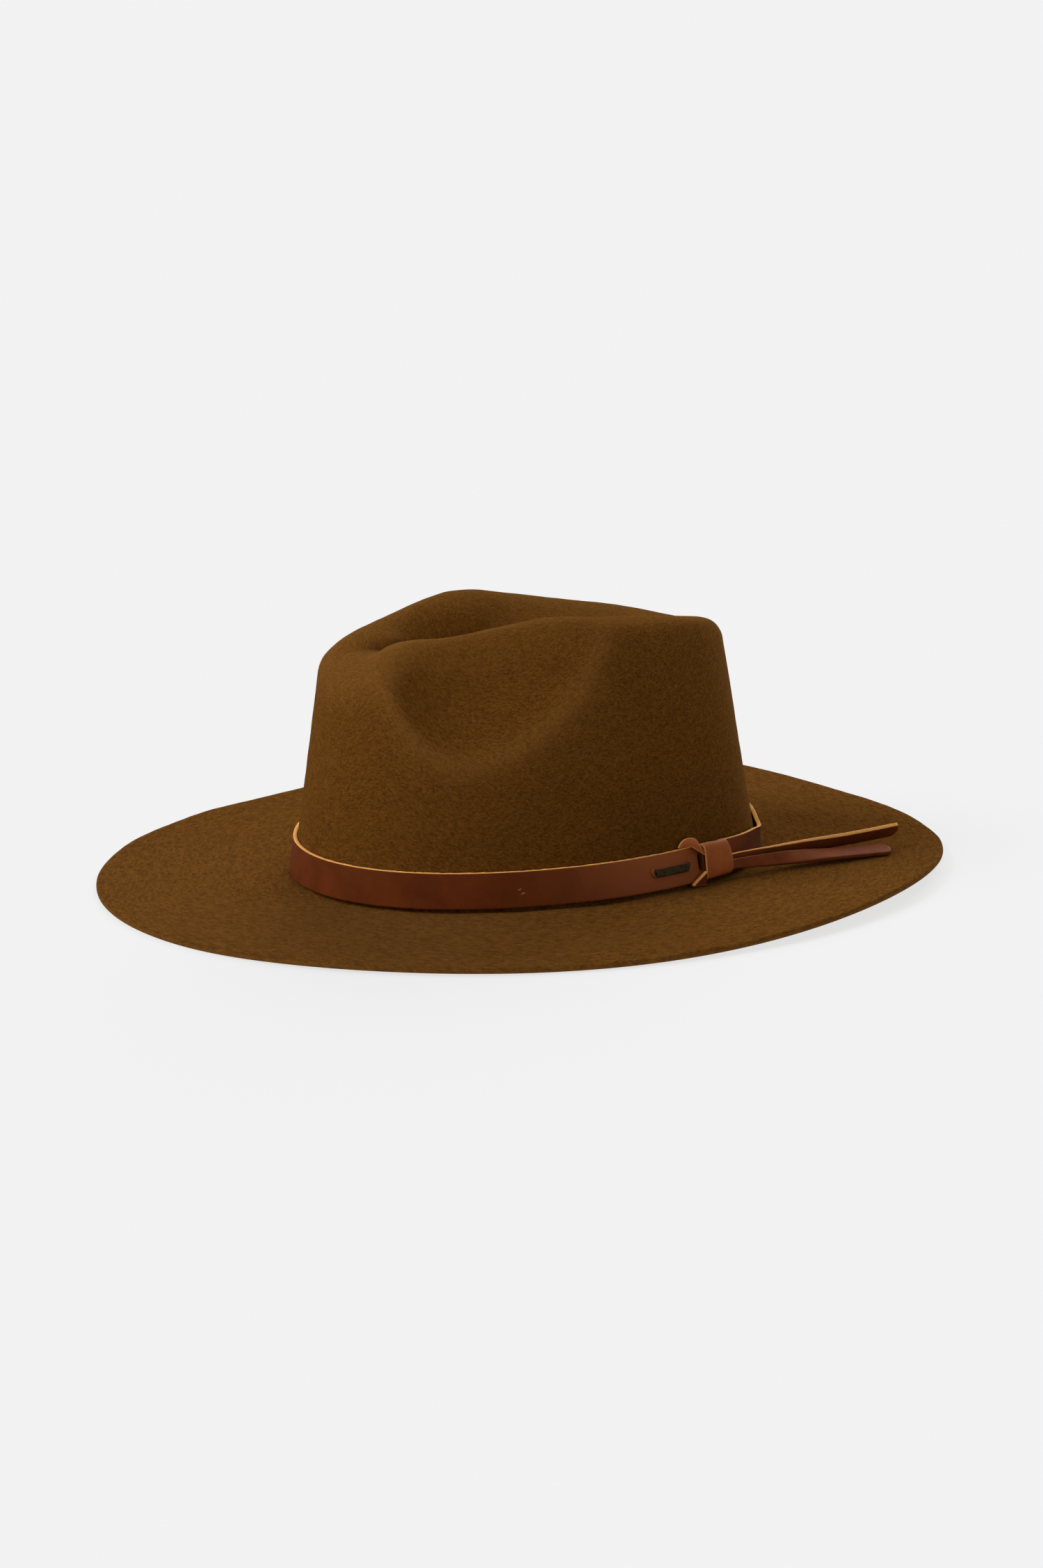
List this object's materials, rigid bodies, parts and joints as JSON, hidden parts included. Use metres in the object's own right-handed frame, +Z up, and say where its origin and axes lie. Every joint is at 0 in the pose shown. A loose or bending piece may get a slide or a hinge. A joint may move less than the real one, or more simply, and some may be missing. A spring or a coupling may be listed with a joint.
{
  "type": "wide-brim hat",
  "caption": "Felt hat with a wide wavy brim, a creased and pinched crown and a knotted leather band with two loose ends.",
  "frame": {"origin": "centre of the brim's outline, on the surface that the hat rests on", "axes": "+Z up; -Y to the front of the hat; +X to the wearer's left, where the knot is"},
  "size_m": [0.332, 0.37, 0.1162],
  "materials": {
    "felt": "matt brushed wool felt, brown",
    "band_leather": "smooth red-brown leather with raw light edges",
    "knot_leather": "smooth tan leather with raw light edges",
    "badge_metal": "dark aged brass, bare"
  },
  "bodies": {
    "root": {"felt_body": "felt", "hat_band": "band_leather", "knot_keeper": "knot_leather", "knot_loop": "knot_leather", "knot_tuck": "knot_leather", "tail_upper": "band_leather", "tail_lower": "band_leather", "badge_plate": "badge_metal"}
  },
  "joints": []
}
